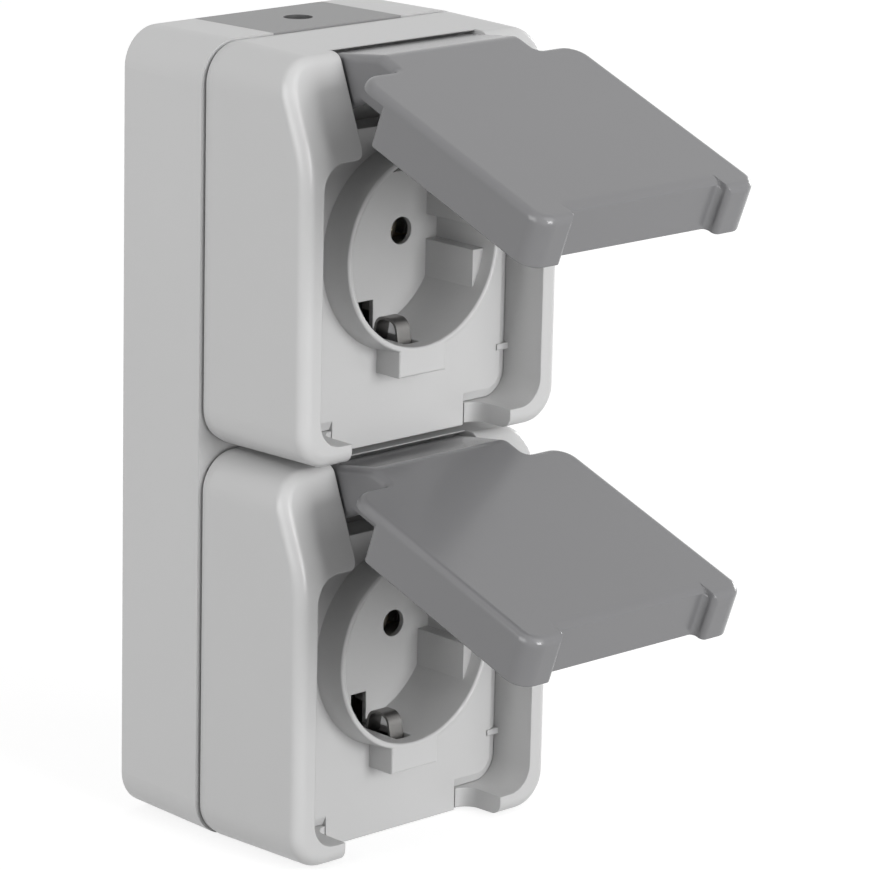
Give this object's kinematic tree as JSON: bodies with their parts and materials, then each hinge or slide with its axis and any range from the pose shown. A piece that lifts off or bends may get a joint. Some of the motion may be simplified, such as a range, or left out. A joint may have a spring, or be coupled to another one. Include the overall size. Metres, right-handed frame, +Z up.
{
  "type": "outdoor weatherproof socket",
  "caption": "Surface-mounted outdoor socket block: light grey back box, stacked socket frames with round wells and earth clips, and grey hinged covers standing open.",
  "frame": {"origin": "centre of the box's rear face, where it meets the wall", "axes": "+X to the right as seen from the front, +Y into the wall, +Z up"},
  "size_m": [0.072, 0.1145, 0.1664],
  "materials": {
    "light_grey_box": "satin",
    "light_grey_shell": "satin",
    "light_grey_plate": "satin",
    "mid_grey_cover": "satin",
    "grommet_rubber": "matte",
    "seal_rubber": "matte",
    "carrier_plastic": "matte",
    "contact_brass": "plain",
    "spring_steel": "bright",
    "plated_steel": "zinc plated"
  },
  "bodies": {
    "housing": {"back_box": "light_grey_box", "cable_grommet": "grommet_rubber", "upper_front_frame": "light_grey_shell", "upper_frame_seal": "seal_rubber", "upper_centre_plate": "light_grey_plate", "upper_contact_carrier": "carrier_plastic", "upper_carrier_screws": "plated_steel", "upper_line_contact": "contact_brass", "upper_neutral_contact": "contact_brass", "upper_terminal_screws": "plated_steel", "upper_earth_bracket": "spring_steel", "upper_hinge_pin": "plated_steel", "lower_front_frame": "light_grey_shell", "lower_frame_seal": "seal_rubber", "lower_centre_plate": "light_grey_plate", "lower_contact_carrier": "carrier_plastic", "lower_carrier_screws": "plated_steel", "lower_line_contact": "contact_brass", "lower_neutral_contact": "contact_brass", "lower_terminal_screws": "plated_steel", "lower_earth_bracket": "spring_steel", "lower_hinge_pin": "plated_steel"},
    "upper_cover": {"upper_hinged_cover": "mid_grey_cover", "upper_cover_seal": "seal_rubber"},
    "lower_cover": {"lower_hinged_cover": "mid_grey_cover", "lower_cover_seal": "seal_rubber"}
  },
  "joints": [
    {"name": "upper_cover_hinge", "type": "hinge", "parent": "housing", "child": "upper_cover", "pos_m": [0, -0.0448, 0.0768], "axis": [-1, 0, 0], "range_deg": [-69.1, 20]},
    {"name": "lower_cover_hinge", "type": "hinge", "parent": "housing", "child": "lower_cover", "pos_m": [0, -0.0448, -0.0068], "axis": [-1, 0, 0], "range_deg": [-70.5, 20]}
  ]
}
